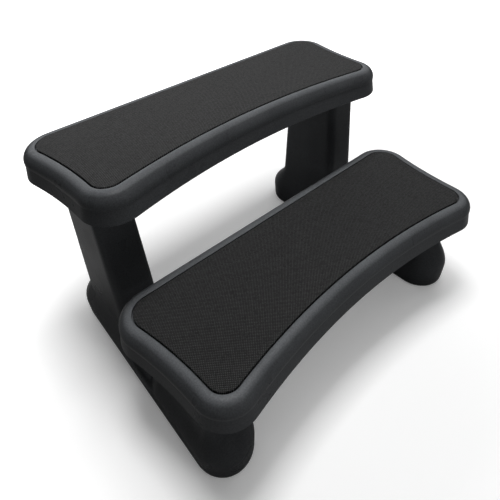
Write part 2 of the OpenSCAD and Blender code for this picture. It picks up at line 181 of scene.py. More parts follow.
BRASS = ((0.72, 0.52, 0.22), 0.3, 0.45)


def heading(start, end):
    return math.atan2(end[1] - start[1], end[0] - start[0])


def circles_meet(a, ra, b, rb):
    """The meeting point of two circles that lies to the left of the line from a to b."""
    d = math.dist(a, b)
    along = (d * d + ra * ra - rb * rb) / (2 * d)
    across = math.sqrt(ra * ra - along * along)
    ux, uy = (b[0] - a[0]) / d, (b[1] - a[1]) / d
    return (a[0] + along * ux + across * uy, a[1] + along * uy - across * ux)


END_CENTRE = (SEAT_HALF_WIDTH + END_RADIUS, -END_WAIST)
FRONT_CENTRE = (0, -SEAT_DEPTH - FRONT_RADIUS)
REAR_CORNER_CENTRE = (
    END_CENTRE[0] - math.sqrt((END_RADIUS + REAR_CORNER) ** 2 - (END_WAIST - REAR_CORNER) ** 2),
    -REAR_CORNER,
)
FRONT_CORNER_CENTRE = circles_meet(
    END_CENTRE, END_RADIUS + FRONT_CORNER, FRONT_CENTRE, FRONT_RADIUS + FRONT_CORNER
)
REAR_TO_END = heading(REAR_CORNER_CENTRE, END_CENTRE)
FRONT_TO_END = heading(FRONT_CORNER_CENTRE, END_CENTRE)
FRONT_TO_FRONT = heading(FRONT_CORNER_CENTRE, FRONT_CENTRE)
FRONT_HALF_ANGLE = math.pi / 2 - heading(FRONT_CENTRE, FRONT_CORNER_CENTRE)

LOW_Y = -(STEP_OFFSET + FRONT_CORNER_CENTRE[1] - FRONT_CORNER) / 2
HIGH_Y = LOW_Y + STEP_OFFSET
LOW_Z = FIRST_RISE
HIGH_Z = FIRST_RISE + SECOND_RISE
SEAT_Z = -RECESS - DECK - BOSS_H
POST_X = POST_INNER + POST_W / 2
POST_Y = -POST_BACK - POST_L / 2
RAIL_R = RAIL_W / 2
RAIL_X = RAIL_INNER + RAIL_R
FRONT_FOOT_Y = LOW_Y + POST_Y - POST_L / 2 - RAIL_FRONT + RAIL_R
REAR_FOOT_Y = HIGH_Y + POST_Y + POST_L / 2 + RAIL_REAR - RAIL_R
RAIL_H = FLANK_H + RAIL_ROUND


# ---- Sizes and colours ----


class SpaStepsSizes(bpy.types.PropertyGroup):
    weave_pitch: FloatProperty(
        name="Weave pitch",
        description="Distance between the nubs of one row; the nearest nub lies 0.7 of it away",
        default=0.0034,
        unit="LENGTH",
    )
    grain_size: FloatProperty(
        name="Grain size",
        description="Size of the moulded grain on the plastic",
        default=0.0022,
        unit="LENGTH",
    )
    voxel: FloatProperty(
        name="Support mesh",
        description="Size of the mesh that blends a support's flares",
        default=0.003,
        unit="LENGTH",
    )


class SpaStepsColours(bpy.types.PropertyGroup):
    plastic: FloatVectorProperty(
        name="Plastic",
        description="Colour of the treads and supports",
        default=(0.0425, 0.0445, 0.0472),
        size=3,
        subtype="COLOR",
    )
    # Painted highlight: how much paler the plastic is painted where it faces up, in place of light
    # from above
    painted_top_light: FloatProperty(
        name="Top lift",
        description="How much paler the plastic is drawn where it faces up",
        default=2.25,
    )
    mat: FloatVectorProperty(
        name="Mat",
        description="Colour of the mats",
        default=(0.0122, 0.0122, 0.0125),
        size=3,
        subtype="COLOR",
    )
    pad: FloatVectorProperty(
        name="Foot pads",
        description="Colour of the foot pads",
        default=(0.012, 0.012, 0.012),
        size=3,
        subtype="COLOR",
    )
    floor: FloatVectorProperty(
        name="Floor",
        description="Colour of the floor",
        default=(0.97, 0.97, 0.97),
        size=3,
        subtype="COLOR",
    )


# ---- Shader groups ----


def new_group(name, inputs, outputs):
    """A shader node group, with its input and output nodes."""
    group = bpy.data.node_groups.new(name, "ShaderNodeTree")
    for label, kind, value in inputs:
        socket = group.interface.new_socket(label, in_out="INPUT", socket_type=kind)
        socket.default_value = value
    for label, kind in outputs:
        group.interface.new_socket(label, in_out="OUTPUT", socket_type=kind)
    start = group.nodes.new("NodeGroupInput")
    end = group.nodes.new("NodeGroupOutput")
    return group, start, end


def math_node(tree, operation, a, b=None):
    node = tree.nodes.new("ShaderNodeMath")
    node.operation = operation
    for socket, value in zip(node.inputs, (a, b)):
        if value is None:
            continue
        if isinstance(value, (int, float)):
            socket.default_value = value
        else:
            tree.links.new(value, socket)
    return node.outputs[0]


def remap(tree, value, low, high, to_low, to_high):
    node = tree.nodes.new("ShaderNodeMapRange")
    tree.links.new(value, node.inputs["Value"])
    node.inputs["From Min"].default_value = low
    node.inputs["From Max"].default_value = high
    node.inputs["To Min"].default_value = to_low
    node.inputs["To Max"].default_value = to_high
    return node.outputs[0]


def object_coordinates(tree):
    return tree.nodes.new("ShaderNodeTexCoord").outputs["Object"]


def grain_group():
    """Fine moulded grain: a height for bump and a cloudy tone, both 0 to 1."""
    if "moulded_grain" in bpy.data.node_groups:
        return bpy.data.node_groups["moulded_grain"]
    group, start, end = new_group(
        "moulded_grain",
        [("Grain Size", "NodeSocketFloat", 0.001), ("Cloud Size", "NodeSocketFloat", 0.06)],
        [("Height", "NodeSocketFloat"), ("Tone", "NodeSocketFloat")],
    )
    where = object_coordinates(group)
    fine = group.nodes.new("ShaderNodeTexNoise")
    fine.inputs["Detail"].default_value = 2.0
    fine.inputs["Roughness"].default_value = 0.55
    group.links.new(where, fine.inputs["Vector"])
    group.links.new(math_node(group, "DIVIDE", 1.0, start.outputs[0]), fine.inputs["Scale"])
    cloud = group.nodes.new("ShaderNodeTexNoise")
    cloud.inputs["Detail"].default_value = 3.0
    group.links.new(where, cloud.inputs["Vector"])
    group.links.new(math_node(group, "DIVIDE", 1.0, start.outputs[1]), cloud.inputs["Scale"])
    group.links.new(fine.outputs["Fac"], end.inputs["Height"])
    group.links.new(remap(group, cloud.outputs["Fac"], 0.3, 0.7, 0.0, 1.0), end.inputs["Tone"])
    return group


def weave_group():
    """Square weave turned by 45 degrees: a height with a raised nub at every crossing."""
    if "nub_weave" in bpy.data.node_groups:
        return bpy.data.node_groups["nub_weave"]
    group, start, end = new_group(
        "nub_weave",
        [("Pitch", "NodeSocketFloat", 0.003)],
        [("Height", "NodeSocketFloat"), ("Nub", "NodeSocketFloat")],
    )
    split = group.nodes.new("ShaderNodeSeparateXYZ")
    group.links.new(object_coordinates(group), split.inputs[0])
    turn = math_node(group, "DIVIDE", 2 * math.pi, start.outputs["Pitch"])
    waves = []
    for axis in (0, 1):
        phase = math_node(group, "MULTIPLY", split.outputs[axis], turn)
        waves.append(math_node(group, "COSINE", phase))
    total = math_node(group, "MULTIPLY", waves[0], waves[1])
    height = remap(group, total, -1.0, 1.0, 0.0, 1.0)
    nub = remap(group, total, 0.0, 0.8, 0.0, 1.0)
    group.links.new(height, end.inputs["Height"])
    group.links.new(nub, end.inputs["Nub"])
    return group


def place_group(tree, group, **values):
    node = tree.nodes.new("ShaderNodeGroup")
    node.node_tree = group
    for name, value in values.items():
        node.inputs[name.replace("_", " ")].default_value = value
    return node


def new_material(name):
    material = bpy.data.materials.new(name)
    material.use_nodes = True
    shader = material.node_tree.nodes["Principled BSDF"]
    return material, material.node_tree, shader


def two_tone(tree, factor, dark, light):
    mix = tree.nodes.new("ShaderNodeMix")
    mix.data_type = "RGBA"
    tree.links.new(factor, mix.inputs["Factor"])
    mix.inputs[6].default_value = (*dark, 1.0)
    mix.inputs[7].default_value = (*light, 1.0)
    return mix.outputs[2]


def scaled(colour, factor):
    return tuple(min(1.0, c * factor) for c in colour)


def bump(tree, height, distance, shader, strength=1.0):
    node = tree.nodes.new("ShaderNodeBump")
    node.inputs["Strength"].default_value = strength
    node.inputs["Distance"].default_value = distance
    tree.links.new(height, node.inputs["Height"])
    tree.links.new(node.outputs["Normal"], shader.inputs["Normal"])


def plastic_material():
    """Satin charcoal plastic with moulded grain, and a painted highlight: drawn paler where it
    faces up.
    """
    if "satin_plastic" in bpy.data.materials:
        return bpy.data.materials["satin_plastic"]
    props = bpy.context.scene.spa_steps_colours
    sizes = bpy.context.scene.spa_steps_sizes
    material, tree, shader = new_material("satin_plastic")
    grain = place_group(tree, grain_group(), Grain_Size=sizes.grain_size, Cloud_Size=PLASTIC_CLOUD)
    speckle = remap(tree, grain.outputs["Height"], 0.3, 0.7, 0.0, SPECKLE_SHARE)
    clouds = math_node(tree, "MULTIPLY", grain.outputs["Tone"], CLOUD_SHARE)
    mottle = math_node(tree, "ADD", speckle, clouds)
    # A plain copy of the plastic and a paler copy with painted light, mixed by how much a face
    # points up
    plain_and_painted_lit = []
    for level in (1.0, props.painted_top_light):
        plastic = scaled(props.plastic, level)
        dark, light = (scaled(plastic, share) for share in PLASTIC_MOTTLE)
        plain_and_painted_lit.append(two_tone(tree, mottle, dark, light))
    split = tree.nodes.new("ShaderNodeSeparateXYZ")
    tree.links.new(tree.nodes.new("ShaderNodeTexCoord").outputs["Normal"], split.inputs[0])
    painted_light_mask = remap(tree, split.outputs[2], PAINTED_LIGHT_FROM, 1.0, 0.0, 1.0)
    colour = tree.nodes.new("ShaderNodeMix")
    colour.data_type = "RGBA"
    tree.links.new(painted_light_mask, colour.inputs["Factor"])
    tree.links.new(plain_and_painted_lit[0], colour.inputs[6])
    tree.links.new(plain_and_painted_lit[1], colour.inputs[7])
    tree.links.new(colour.outputs[2], shader.inputs["Base Color"])
    rough = remap(tree, grain.outputs["Tone"], 0.0, 1.0, *PLASTIC_ROUGHNESS)
    tree.links.new(rough, shader.inputs["Roughness"])
    shader.inputs["Specular IOR Level"].default_value = PLASTIC_SPECULAR
    bump(tree, grain.outputs["Height"], PLASTIC_BUMP, shader)
    return material


def mat_material():
    """Dull rubber with a woven nub pattern."""
    if "woven_mat" in bpy.data.materials:
        return bpy.data.materials["woven_mat"]
    props = bpy.context.scene.spa_steps_colours
    sizes = bpy.context.scene.spa_steps_sizes
    material, tree, shader = new_material("woven_mat")
    weave = place_group(tree, weave_group(), Pitch=sizes.weave_pitch)
    grain = place_group(tree, grain_group(), Grain_Size=0.0007, Cloud_Size=0.09)
    worn = place_group(tree, grain_group(), Grain_Size=MAT_WEAR_SIZE, Cloud_Size=0.05)
    wear = remap(tree, worn.outputs["Height"], 0.32, 0.68, *MAT_WEAR)
    nub = math_node(tree, "MULTIPLY", weave.outputs["Nub"], wear)
    dark, light = (scaled(props.mat, share) for share in MAT_TONES)
    colour = two_tone(tree, nub, dark, light)
    tree.links.new(colour, shader.inputs["Base Color"])
    rough = remap(tree, nub, 0.0, 1.0, *MAT_ROUGHNESS)
    tree.links.new(rough, shader.inputs["Roughness"])
    shader.inputs["Specular IOR Level"].default_value = MAT_SPECULAR
    fine = math_node(tree, "MULTIPLY", grain.outputs["Height"], MAT_GRAIN_SHARE)
    height = math_node(tree, "ADD", weave.outputs["Height"], fine)
    bump(tree, height, MAT_BUMP, shader, MAT_BUMP_STRENGTH)
    return material


def pad_material():
    """Soft black rubber of the foot pads."""
    if "pad_rubber" in bpy.data.materials:
        return bpy.data.materials["pad_rubber"]
    props = bpy.context.scene.spa_steps_colours
    material, tree, shader = new_material("pad_rubber")
    grain = place_group(tree, grain_group(), Grain_Size=0.0008, Cloud_Size=0.02)
    colour = two_tone(tree, grain.outputs["Tone"], props.pad, scaled(props.pad, PAD_TONE))
    tree.links.new(colour, shader.inputs["Base Color"])
    rough = remap(tree, grain.outputs["Tone"], 0.0, 1.0, *PAD_ROUGHNESS)
    tree.links.new(rough, shader.inputs["Roughness"])
    bump(tree, grain.outputs["Height"], PAD_BUMP, shader)
    return material


def metal_material(name, colour, low, high):
    """Metal with a fine grain and a cloudy sheen."""
    if name in bpy.data.materials:
        return bpy.data.materials[name]
    material, tree, shader = new_material(name)
    shader.inputs["Metallic"].default_value = 1.0
    grain = place_group(tree, grain_group(), Grain_Size=0.0004, Cloud_Size=0.004)
    tone = two_tone(tree, grain.outputs["Tone"], scaled(colour, METAL_TONE), colour)
    tree.links.new(tone, shader.inputs["Base Color"])
    rough = remap(tree, grain.outputs["Tone"], 0.0, 1.0, low, high)
    tree.links.new(rough, shader.inputs["Roughness"])
    bump(tree, grain.outputs["Height"], METAL_BUMP, shader)
    return material


# ---- Mesh helpers ----


def faces_of(geom):
    return [g for g in geom if isinstance(g, bmesh.types.BMFace)]


def edges_of(geom):
    return [g for g in geom if isinstance(g, bmesh.types.BMEdge)]


def verts_of(geom):
    return [g for g in geom if isinstance(g, bmesh.types.BMVert)]


def wire(bm, points, closed):
    """A few vertices joined by edges."""
    verts = [bm.verts.new(p) for p in points]
    pairs = list(zip(verts, verts[1:]))
    if closed:
        pairs.append((verts[-1], verts[0]))
    return verts + [bm.edges.new(pair) for pair in pairs]


def carry(bm, geom, offset, steps):
    """Carries a wire along a straight line and returns its last copy."""
    for _ in range(steps):
        edges = edges_of(geom)
        if edges:
            geom = bmesh.ops.extrude_edge_only(bm, edges=edges)["geom"]
        else:
            geom = bmesh.ops.extrude_vert_indiv(bm, verts=verts_of(geom))["verts"]
        verts = verts_of(geom)
        bmesh.ops.translate(bm, verts=verts, vec=Vector(offset) / steps)
        ends = set(verts)
        geom = verts + [e for e in edges_of(geom) if set(e.verts) <= ends]
    return geom


def turn(bm, geom, centre, angle, steps):
    """Spins a wire about a vertical axis and returns its last copy."""
    result = bmesh.ops.spin(
        bm,
        geom=geom,
        cent=(centre[0], centre[1], 0),
        axis=(0, 0, 1),
        dvec=(0, 0, 0),
        angle=angle,
        steps=steps,
        use_merge=False,
        use_duplicate=False,
    )
    return result["geom_last"]


def round_the_tread(bm, geom):
    """Carries a wire that stands at the middle of the rear edge round one half of a tread."""
    geom = carry(bm, geom, (REAR_CORNER_CENTRE[0], 0, 0), REAR_STEPS)
    geom = turn(bm, geom, REAR_CORNER_CENTRE, REAR_TO_END - math.pi / 2, REAR_CORNER_STEPS)
    geom = turn(bm, geom, END_CENTRE, FRONT_TO_END - REAR_TO_END, END_STEPS)
    corner = FRONT_TO_FRONT - FRONT_TO_END
    geom = turn(bm, geom, FRONT_CORNER_CENTRE, corner, FRONT_CORNER_STEPS)
    return turn(bm, geom, FRONT_CENTRE, FRONT_HALF_ANGLE, FRONT_STEPS)


def mirrored(bm):
    """Adds the mirror image across X = 0 and closes the seam."""
    bmesh.ops.mirror(
        bm,
        geom=bm.verts[:] + bm.edges[:] + bm.faces[:],
        matrix=Matrix.Identity(4),
        merge_dist=MERGE_SEAM,
        axis="X",
    )
    bmesh.ops.remove_doubles(bm, verts=bm.verts[:], dist=MERGE_SEAM)


def tread_face(bm, t, z):
    """Flat face with the outline of a tread at a distance t outside its seat line."""
    before = set(bm.edges)
    start = [bm.verts.new((0, t, z))]
    round_the_tread(bm, start)
    new_edges = [e for e in bm.edges if e not in before]
    new_verts = list({v for e in new_edges for v in e.verts})
    bmesh.ops.mirror(
        bm,
        geom=new_verts + new_edges,
        matrix=Matrix.Identity(4),
        merge_dist=MERGE_SEAM,
        axis="X",
    )
    fresh = [v for v in bm.verts if not v.link_faces]
    bmesh.ops.remove_doubles(bm, verts=fresh, dist=MERGE_SEAM)
    loop = [e for e in bm.edges if not e.link_faces]
    return bmesh.ops.contextual_create(bm, geom=loop)["faces"]


def raised(bm, faces, height):
    """Extrudes flat faces by a height and returns the new end faces."""
    out = bmesh.ops.extrude_face_region(bm, geom=faces)["geom"]
    bmesh.ops.translate(bm, verts=verts_of(out), vec=(0, 0, height))
    return faces_of(out)


def prism(bm, points, direction):
    """Solid from a flat outline and the direction that it is pushed in."""
    verts = [bm.verts.new(p) for p in points]
    face = bm.faces.new(verts)
    out = bmesh.ops.extrude_face_region(bm, geom=[face])["geom"]
    bmesh.ops.translate(bm, verts=verts_of(out), vec=direction)


def ring_solid(bm, centre, section):
    """Solid of revolution with a bore, from its section of radius and height."""
    geom = wire(bm, [(centre[0] + r, centre[1], z) for r, z in section], True)
    bmesh.ops.spin(
        bm,
        geom=geom,
        cent=(centre[0], centre[1], 0),
        axis=(0, 0, 1),
        dvec=(0, 0, 0),
        angle=2 * math.pi,
        steps=BORE_STEPS,
        use_merge=True,
        use_duplicate=False,
    )


def tube(inner, outer, low, high):
    """Section of a plain tube."""
    return [(inner, low), (outer, low), (outer, high), (inner, high)]


def added(bm, part):
    """Adds a separately built mesh to a larger one."""
    mesh = bpy.data.meshes.new("part")
    part.to_mesh(mesh)
    part.free()
    bm.from_mesh(mesh)
    bpy.data.meshes.remove(mesh)


def round_rect(w, l, r, steps):
    """Points of a rounded rectangle about its middle, counter-clockwise from +X."""
    points = []
    for q in range(4):
        sx = 1 if q in (0, 3) else -1
        sy = 1 if q < 2 else -1
        for i in range(steps + 1):
            a = math.pi / 2 * (q + i / steps)
            points.append(
                (sx * (w / 2 - r) + r * math.cos(a), sy * (l / 2 - r) + r * math.sin(a))
            )
    return points


def loop_at(bm, points, z):
    """A closed ring of edges laid on a list of plan points."""
    verts = bmesh.ops.create_circle(bm, segments=len(points), radius=1.0)["verts"]
    for vert, (x, y) in zip(verts, points):
        vert.co = (x, y, z)
    return verts


def finished(bm, name, material, sharp):
    """Turns a mesh in millimetres into a finished piece at the origin."""
    bmesh.ops.remove_doubles(bm, verts=bm.verts[:], dist=MERGE_ALL)
    bmesh.ops.recalc_face_normals(bm, faces=bm.faces[:])
    bmesh.ops.scale(bm, verts=bm.verts[:], vec=(MM, MM, MM))
    mesh = bpy.data.meshes.new(name)
    bm.to_mesh(mesh)
    bm.free()
    mesh.shade_smooth()
    mesh.set_sharp_from_angle(angle=math.radians(sharp))
    piece = bpy.data.objects.new(name, mesh)
    bpy.context.scene.collection.objects.link(piece)
    mesh.materials.append(material)
    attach(piece, "root")
    return piece


# ---- Treads ----


def rim_section():
    """Closed section of the rim: recess wall, land, roll, crease, straight skirt, inner side."""
    points = [(-2, -RECESS), (0, -RECESS), (0, -0.6), (0.18, -0.18), (0.6, 0), (LAND, 0)]
    for i in range(1, ROLL_STEPS + 1):
        a = math.pi / 2 * i / ROLL_STEPS
        points.append((LAND + ROLL_WIDTH * math.sin(a), -ROLL_HEIGHT * (1 - math.cos(a))))
    points += [
        (22.5, -21.9),
        (22.4, CREASE_Z),
        (CREASE_T, CREASE_Z),
        (21.68, -22.5),
        (22.0, -24.5),
        (23.34, -33),
        (SKIRT_T - 0.2, -46.6),
        (SKIRT_T - 0.05, -47.4),
        (SKIRT_T - 0.5, -47.9),
        (SKIRT_T - 1.2, -TREAD_THICK),
        (SKIRT_T - WALL + 0.4, -TREAD_THICK),
        (SKIRT_T - WALL, -TREAD_THICK + 0.5),
        (CREASE_T - WALL, CREASE_Z),
    ]
    for i in range(INNER_ROLL_STEPS - 1, 0, -1):
        a = math.pi / 2 * i / INNER_ROLL_STEPS
        points.append(
            (
                LAND + (ROLL_WIDTH - WALL) * math.sin(a),
                -ROLL_HEIGHT + (ROLL_HEIGHT - WALL) * math.cos(a),
            )
        )
    points += [(WALL, -WALL - 0.4), (WALL, -RECESS - DECK), (-2, -RECESS - DECK)]
    return points


def end_x(y, t):
    return END_CENTRE[0] - math.sqrt((END_RADIUS - t) ** 2 - (y - END_CENTRE[1]) ** 2)


def front_y(x, t):
    return FRONT_CENTRE[1] + math.sqrt((FRONT_RADIUS - t) ** 2 - x * x)


def deck_ribs(bm):
    """Ribs under the deck: long ones with shallow ends over the posts, and cross ones."""
    deck_z = -RECESS - DECK
    rib_z = deck_z - RIB_DEPTH
    half = POST_INNER - RIB_POST_GAP
    end_t = CREASE_T - WALL / 2
    for i in (1, 2, 3):
        y = -i * SEAT_DEPTH / 4 - RIB / 2
        reach = end_x(y, end_t) - LONG_RIB_GAP
        prism(
            bm,
            [
                (-reach, y, deck_z + OVERLAP),
                (-reach, y, SEAT_Z),
                (-half, y, SEAT_Z),
                (-half, y, rib_z),
                (half, y, rib_z),
                (half, y, SEAT_Z),
                (reach, y, SEAT_Z),
                (reach, y, deck_z + OVERLAP),
            ],
            (0, RIB, 0),
        )
    for i in range(CROSS_RIBS):
        x = -half + 2 * half * i / (CROSS_RIBS - 1) - RIB / 2
        low = front_y(x, end_t)
        prism(
            bm,
            [
                (x, low, rib_z),
                (x, end_t, rib_z),
                (x, end_t, CROSS_RIB_SHOULDER_Z),
                (x, end_t - CROSS_RIB_SHOULDER, deck_z + OVERLAP),
                (x, low + CROSS_RIB_SHOULDER, deck_z + OVERLAP),
                (x, low, CROSS_RIB_SHOULDER_Z),
            ],
            (RIB, 0, 0),
        )


def post_sockets(bm):
    """Rings round the tops of the posts, and the bosses that the screws pass."""
    deck_z = -RECESS - DECK
    for side in (-1, 1):
        for grow in (SOCKET_GAP, SOCKET_OUTER):
            size = (POST_W + 2 * grow, POST_L + 2 * grow)
            points = round_rect(*size, POST_CORNER + grow, SOCKET_STEPS)
            placed = [(side * POST_X + x, POST_Y + y) for x, y in points]
            loop_at(bm, placed, SEAT_Z - SOCKET_DEPTH)
        edges = [e for e in bm.edges if not e.link_faces]
        walls = bmesh.ops.bridge_loops(bm, edges=edges)["faces"]
        raised(bm, walls, deck_z - SEAT_Z + SOCKET_DEPTH + SOCKET_OVERLAP)
        for end in (-1, 1):
            centre = (side * POST_X, POST_Y + end * SCREW_SPAN / 2)
            ring_solid(bm, centre, tube(BOSS_BORE_R, BOSS_R, SEAT_Z, deck_z + OVERLAP))


def make_tread(name, node, y, z):
    bm = bmesh.new()
    section = rim_section()
    geom = wire(bm, [(0, t, h) for t, h in section], True)
    round_the_tread(bm, geom)
    mirrored(bm)
    plate = tread_face(bm, -OVERLAP, -RECESS - DECK + DECK_INSET)
    raised(bm, plate, DECK - 2 * DECK_INSET)
    under = bmesh.new()
    post_sockets(under)
    deck_ribs(under)
    added(bm, under)
    bmesh.ops.translate(bm, verts=bm.verts[:], vec=(0, y, z))
    piece = finished(bm, name, plastic_material(), sharp=TREAD_SHARP)
    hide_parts(node)


def make_mat(name, node, y, z):
    bm = bmesh.new()
    face = tread_face(bm, -MAT_GAP, -RECESS)
    top = raised(bm, face, RECESS + MAT_PROUD)
    rim = [e for f in top for e in f.edges]
    bmesh.ops.bevel(
        bm,
        geom=rim,
        offset=MAT_BEVEL,
        offset_type="OFFSET",
        segments=3,
        profile=0.5,
        affect="EDGES",
        material=-1,
    )
    bmesh.ops.translate(bm, verts=bm.verts[:], vec=(0, y, z))
    piece = finished(bm, name, mat_material(), sharp=MAT_SHARP)
    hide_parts(node)


# ---- Side supports ----


def smooth_step(u):
    return u * u * (3 - 2 * u)


def mix(a, b, s):
    return a + (b - a) * s


def post_ring(below):
    """Outline of a post at a distance below its top."""
    return round_rect(
        POST_W + 2 * below * math.tan(SIDE_DRAFT),
        POST_L + 2 * below * math.tan(END_DRAFT),
        POST_CORNER,
        POST_STEPS,
    )


def flare_ring(top_z, front, rear, u, inset=0):
    """Points of a post's flare, from the rail's outline (u = 0) up to the post itself (u = 1)."""
    foot_l = POST_L + front + rear
    foot = round_rect(RAIL_W - 2 * inset, foot_l - 2 * inset, RAIL_R - inset, POST_STEPS)
    s = 1 - smooth_step(u)
    points = []
    for i, (fx, fy) in enumerate(foot):
        out = min(1.0, abs(fy) / (foot_l / 2))
        start = mix(FLARE_TOP_SIDE, FLARE_TOP_END, smooth_step(out))
        own = post_ring(top_z - start)[i]
        x = mix(own[0], fx + RAIL_X - POST_X, s)
        y = mix(own[1], fy + (rear - front) / 2, s)
        points.append((x, y, mix(FLANK_H, start, u)))
    return points


def grown(bm, verts, points):
    """Extrudes a ring of edges and lays the new ring on a list of points."""
    ring = set(verts)
    edges = [e for e in bm.edges if set(e.verts) <= ring and len(e.link_faces) < 2]
    order = {}
    out = bmesh.ops.extrude_edge_only(bm, edges=edges)["geom"]
    fresh = verts_of(out)
    for vert in fresh:
        for edge in vert.link_edges:
            other = edge.other_vert(vert)
            if other in ring:
                order[other] = vert
    result = [order[v] for v in verts]
    for vert, point in zip(result, points):
        vert.co = point
    return result


def add_post(bm, base_y, top_z, front, rear):
    """A closed post with its flare, from inside the rail up to the tread."""
    levels = (k / FLARE_LEVELS for k in range(FLARE_LEVELS + 1))
    rings = [flare_ring(top_z, front, rear, u) for u in levels]
    rings.append([(x, y, top_z) for x, y in post_ring(0)])
    placed = [[(POST_X + x, base_y + y, z) for x, y, z in ring] for ring in rings]
    buried = flare_ring(top_z, front, rear, 0, FLANK_LEAN)
    verts = loop_at(bm, [(POST_X + x, base_y + y) for x, y, z in buried], FLANK_H / 2)
    bm.faces.new(verts)
    for ring in placed:
        verts = grown(bm, verts, ring)
    bm.faces.new(verts)


def add_rail(bm):
    """The rail: rounded foot, leaning flank and rounded top, with round ends."""
    points = [(-RAIL_R, PAD_PROUD)]
    for i in range(FOOT_STEPS + 1):
        a = math.pi / 2 * i / FOOT_STEPS
        points.append(
            (
                -FLANK_LEAN - FOOT_ROUND * (1 - math.sin(a)),
                PAD_PROUD + FOOT_ROUND * (1 - math.cos(a)),
            )
        )
    for i in range(RAIL_ROUND_STEPS + 1):
        a = math.pi / 2 * i / RAIL_ROUND_STEPS
        points.append((-RAIL_ROUND * (1 - math.cos(a)), FLANK_H + RAIL_ROUND * math.sin(a)))
    points.append((-RAIL_R, RAIL_H))
    start = [(RAIL_X - RAIL_R - x, FRONT_FOOT_Y, z) for x, z in points]
    geom = wire(bm, start, False)
    length = REAR_FOOT_Y - FRONT_FOOT_Y
    geom = turn(bm, geom, (RAIL_X, FRONT_FOOT_Y), math.pi, RAIL_END_STEPS)
    geom = carry(bm, geom, (0, length, 0), RAIL_SIDE_STEPS)
    geom = turn(bm, geom, (RAIL_X, REAR_FOOT_Y), math.pi, RAIL_END_STEPS)
    carry(bm, geom, (0, -length, 0), RAIL_SIDE_STEPS)


def blended(bm, name, voxel):
    """One smooth skin round everything in the mesh, made by remeshing it to small voxels."""
    bmesh.ops.remove_doubles(bm, verts=bm.verts[:], dist=MERGE_ALL)
    bmesh.ops.recalc_face_normals(bm, faces=bm.faces[:])
    bmesh.ops.scale(bm, verts=bm.verts[:], vec=(MM, MM, MM))
    mesh = bpy.data.meshes.new(name)
    bm.to_mesh(mesh)
    bm.free()
    holder = bpy.data.objects.new(name, mesh)
    bpy.context.scene.collection.objects.link(holder)
    modifier = holder.modifiers.new("skin", "REMESH")
    modifier.mode = "VOXEL"
    modifier.voxel_size = voxel
    graph = bpy.context.evaluated_depsgraph_get()
    skin = bmesh.new()
    skin.from_mesh(holder.evaluated_get(graph).to_mesh())
    bpy.data.objects.remove(holder)
    bpy.data.meshes.remove(mesh)
    bmesh.ops.scale(skin, verts=skin.verts[:], vec=(1 / MM, 1 / MM, 1 / MM))
    return skin


def support_inside(bm):
    """Plates that hold the foot pads, cross webs and the bosses of the threaded inserts."""
    low = RAIL_R - FLANK_LEAN - WEB_GAP
    flank = RAIL_R - WEB_GAP
    for y in (FRONT_FOOT_Y, REAR_FOOT_Y):
        ring_solid(bm, (RAIL_X, y), tube(STEM_D / 2, low, PAD_PLATE_LOW, PAD_PLATE_TOP))
    posts = ((LOW_Y + POST_Y, LOW_Z + SEAT_Z), (HIGH_Y + POST_Y, HIGH_Z + SEAT_Z))
    for y, top in posts:
        half_top = POST_W / 2 - WEB_GAP
        half_low = half_top + (top - FLARE_TOP_SIDE) * math.tan(SIDE_DRAFT)
        web_y = y - WEB / 2
        prism(
            bm,
            [
                (RAIL_X - low, web_y, PAD_PLATE_TOP),
                (RAIL_X + low, web_y, PAD_PLATE_TOP),
                (RAIL_X + flank, web_y, FLANK_H),
                (POST_X + half_low, web_y, FLARE_TOP_SIDE),
                (POST_X + half_top, web_y, top - OVERLAP),
                (POST_X - half_top, web_y, top - OVERLAP),
                (POST_X - half_low, web_y, FLARE_TOP_SIDE),
                (RAIL_X - flank, web_y, FLANK_H),
            ],
            (0, WEB, 0),
        )
        for end in (-1, 1):
            centre = (POST_X, y + end * SCREW_SPAN / 2)
            boss = tube(INSERT_BORE_R, INSERT_BOSS_R, top - INSERT_BOSS_DEPTH, top - OVERLAP)
            ring_solid(bm, centre, boss)
    middle = (FRONT_FOOT_Y + REAR_FOOT_Y) / 2
    crown = RAIL_R - RAIL_ROUND
    for i in (-1, 0, 1):
        web_y = middle + WEB_PITCH * i - WEB / 2
        prism(
            bm,
            [
                (RAIL_X - low, web_y, PAD_PLATE_TOP),
                (RAIL_X + low, web_y, PAD_PLATE_TOP),
                (RAIL_X + flank, web_y, FLANK_H),
                (RAIL_X + crown, web_y, RAIL_H - WEB_GAP),
                (RAIL_X - crown, web_y, RAIL_H - WEB_GAP),
                (RAIL_X - flank, web_y, FLANK_H),
            ],
            (0, WEB, 0),
        )


def make_support(name, node, side):
    """Builds one support: a smooth blended skin, thickened inwards, with its webs and bosses."""
    bm = bmesh.new()
    add_rail(bm)
    add_post(bm, LOW_Y + POST_Y, LOW_Z + SEAT_Z, RAIL_FRONT, SADDLE)
    add_post(bm, HIGH_Y + POST_Y, HIGH_Z + SEAT_Z, SADDLE, RAIL_REAR)
    skin = blended(bm, name, bpy.context.scene.spa_steps_sizes.voxel)
    for _ in range(SMOOTH_PASSES):
        free = [v for v in skin.verts if v.co.z > PAD_PROUD + SMOOTH_ABOVE]
        bmesh.ops.smooth_vert(
            skin, verts=free, factor=0.5, use_axis_x=True, use_axis_y=True, use_axis_z=True
        )
    sole = [f for f in skin.faces if f.calc_center_median().z < PAD_PROUD + SOLE_BELOW]
    bmesh.ops.delete(skin, geom=sole, context="FACES")
    bmesh.ops.recalc_face_normals(skin, faces=skin.faces[:])
    bmesh.ops.solidify(skin, geom=skin.faces[:], thickness=SUPPORT_WALL)
    inside = bmesh.new()
    support_inside(inside)
    added(skin, inside)
    if side < 0:
        bmesh.ops.scale(skin, verts=skin.verts[:], vec=(-1, 1, 1))
    plastic = plastic_material()
    piece = finished(skin, name, plastic, sharp=SUPPORT_SHARP)
    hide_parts(node)


# ---- Operators ----


